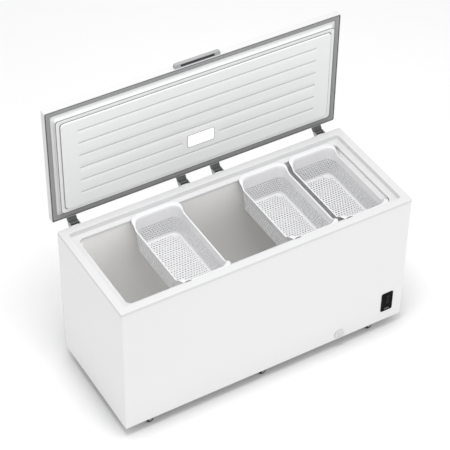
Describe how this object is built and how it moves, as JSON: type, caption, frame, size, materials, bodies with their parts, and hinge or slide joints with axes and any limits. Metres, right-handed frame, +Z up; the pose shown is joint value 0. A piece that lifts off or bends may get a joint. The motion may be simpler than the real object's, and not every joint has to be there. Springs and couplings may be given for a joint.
{
  "type": "chest freezer",
  "caption": "Long chest freezer on castors with an insulated lid standing open, hanging baskets on an inner ledge, a lid lamp, a front drain and a control panel.",
  "frame": {"origin": "on the floor, under the middle of the freezer with its lid open", "axes": "+Z up, the cabinet's front faces -Y, +X to the right as seen from the front"},
  "size_m": [1.65, 0.7667, 1.5656],
  "materials": {
    "white_enamel": "gloss",
    "galvanised_sheet": "satin",
    "collar_plastic": "satin",
    "liner_metal": "satin",
    "insulating_foam": "matte",
    "lid_liner_plastic": "satin",
    "seal_rubber": "matte",
    "coil_tube": "satin",
    "copper_tube": "satin",
    "black_enamel": "gloss",
    "black_rubber": "matte",
    "zinc_steel": "satin",
    "black_plastic": "matte",
    "white_plastic": "satin",
    "drain_rubber": "matte",
    "panel_black": "gloss",
    "key_grey": "satin",
    "circuit_board": "satin",
    "hinge_grey": "satin",
    "lens_white": "satin",
    "handle_grey": "satin",
    "basket_white": "satin",
    "castor_steel": "satin",
    "wheel_black": "satin"
  },
  "bodies": {
    "cabinet": {"base_pan": "galvanised_sheet", "cable_gland": "black_rubber", "castor_plates": "galvanised_sheet", "castor_screws": "zinc_steel", "compressor": "black_enamel", "compressor_bolts": "zinc_steel", "compressor_grommets": "black_rubber", "compressor_plate": "galvanised_sheet", "condenser_coil": "coil_tube", "control_board": "circuit_board", "control_fascia": "panel_black", "cover_screws": "zinc_steel", "drain_tube": "white_plastic", "evaporator_coil": "coil_tube", "filter_drier": "copper_tube", "foam_insulation": "insulating_foam", "hinge_brackets": "hinge_grey", "hinge_pins": "zinc_steel", "hinge_screws": "zinc_steel", "hinge_springs": "zinc_steel", "inner_liner": "liner_metal", "outer_cabinet": "white_enamel", "rear_cover": "galvanised_sheet", "rear_panel": "galvanised_sheet", "refrigerant_tubes": "copper_tube", "relay_cover": "black_plastic", "room_bulkhead": "galvanised_sheet", "top_collar": "collar_plastic", "vent_grille": "white_plastic"},
    "lid": {"lid_outer_panel": "white_enamel", "lid_inner_liner": "lid_liner_plastic", "lid_foam": "insulating_foam", "lid_gasket": "seal_rubber", "lamp_housing": "white_plastic", "lamp_lens": "lens_white", "lamp_board": "circuit_board", "lid_handle": "handle_grey", "hinge_arms": "hinge_grey", "handle_screws": "zinc_steel"},
    "basket_1": {"basket_1": "basket_white"},
    "basket_2": {"basket_2": "basket_white"},
    "basket_3": {"basket_3": "basket_white"},
    "drain_cap": {"drain_cap": "white_plastic"},
    "drain_plug": {"drain_plug": "drain_rubber"},
    "control_key": {"control_key": "key_grey"},
    "castor_1_fork": {"castor_fork_1": "castor_steel"},
    "castor_1_wheel": {"castor_wheel_1": "wheel_black"},
    "castor_2_fork": {"castor_fork_2": "castor_steel"},
    "castor_2_wheel": {"castor_wheel_2": "wheel_black"},
    "castor_3_fork": {"castor_fork_3": "castor_steel"},
    "castor_3_wheel": {"castor_wheel_3": "wheel_black"},
    "castor_4_fork": {"castor_fork_4": "castor_steel"},
    "castor_4_wheel": {"castor_wheel_4": "wheel_black"},
    "castor_5_fork": {"castor_fork_5": "castor_steel"},
    "castor_5_wheel": {"castor_wheel_5": "wheel_black"},
    "castor_6_fork": {"castor_fork_6": "castor_steel"},
    "castor_6_wheel": {"castor_wheel_6": "wheel_black"}
  },
  "joints": [
    {"name": "lid_hinge", "type": "hinge", "parent": "cabinet", "child": "lid", "pos_m": [0, 0.3208, 0.8372], "axis": [-1, 0, 0], "range_deg": [-90, 0]},
    {"name": "basket_1_lift", "type": "slide", "parent": "cabinet", "child": "basket_1", "axis": [0, 0, 1], "range_m": [0, 0.34]},
    {"name": "basket_2_lift", "type": "slide", "parent": "cabinet", "child": "basket_2", "axis": [0, 0, 1], "range_m": [0, 0.34]},
    {"name": "basket_3_lift", "type": "slide", "parent": "cabinet", "child": "basket_3", "axis": [0, 0, 1], "range_m": [0, 0.34]},
    {"name": "drain_cap_pull", "type": "slide", "parent": "cabinet", "child": "drain_cap", "axis": [0, -1, 0], "range_m": [0, 0.035]},
    {"name": "drain_plug_pull", "type": "slide", "parent": "cabinet", "child": "drain_plug", "axis": [0, 0, 1], "range_m": [0, 0.06]},
    {"name": "control_key_press", "type": "slide", "parent": "cabinet", "child": "control_key", "axis": [0, 1, 0], "range_m": [0, 0.001], "stiffness_N_per_m": 900},
    {"name": "castor_1_swivel", "type": "hinge", "parent": "cabinet", "child": "castor_1_fork", "pos_m": [-0.661, -0.344, 0.05], "axis": [0, 0, 1], "continuous": true},
    {"name": "castor_1_roll", "type": "hinge", "parent": "castor_1_fork", "child": "castor_1_wheel", "pos_m": [-0.675, -0.344, 0.02], "axis": [0, 1, 0], "continuous": true},
    {"name": "castor_2_swivel", "type": "hinge", "parent": "cabinet", "child": "castor_2_fork", "pos_m": [0, -0.344, 0.05], "axis": [0, 0, 1], "continuous": true},
    {"name": "castor_2_roll", "type": "hinge", "parent": "castor_2_fork", "child": "castor_2_wheel", "pos_m": [-0.014, -0.344, 0.02], "axis": [0, 1, 0], "continuous": true},
    {"name": "castor_3_swivel", "type": "hinge", "parent": "cabinet", "child": "castor_3_fork", "pos_m": [0.661, -0.344, 0.05], "axis": [0, 0, 1], "continuous": true},
    {"name": "castor_3_roll", "type": "hinge", "parent": "castor_3_fork", "child": "castor_3_wheel", "pos_m": [0.647, -0.344, 0.02], "axis": [0, 1, 0], "continuous": true},
    {"name": "castor_4_swivel", "type": "hinge", "parent": "cabinet", "child": "castor_4_fork", "pos_m": [-0.661, 0.226, 0.05], "axis": [0, 0, 1], "continuous": true},
    {"name": "castor_4_roll", "type": "hinge", "parent": "castor_4_fork", "child": "castor_4_wheel", "pos_m": [-0.675, 0.226, 0.02], "axis": [0, 1, 0], "continuous": true},
    {"name": "castor_5_swivel", "type": "hinge", "parent": "cabinet", "child": "castor_5_fork", "pos_m": [0, 0.226, 0.05], "axis": [0, 0, 1], "continuous": true},
    {"name": "castor_5_roll", "type": "hinge", "parent": "castor_5_fork", "child": "castor_5_wheel", "pos_m": [-0.014, 0.226, 0.02], "axis": [0, 1, 0], "continuous": true},
    {"name": "castor_6_swivel", "type": "hinge", "parent": "cabinet", "child": "castor_6_fork", "pos_m": [0.661, 0.226, 0.05], "axis": [0, 0, 1], "continuous": true},
    {"name": "castor_6_roll", "type": "hinge", "parent": "castor_6_fork", "child": "castor_6_wheel", "pos_m": [0.647, 0.226, 0.02], "axis": [0, 1, 0], "continuous": true}
  ]
}
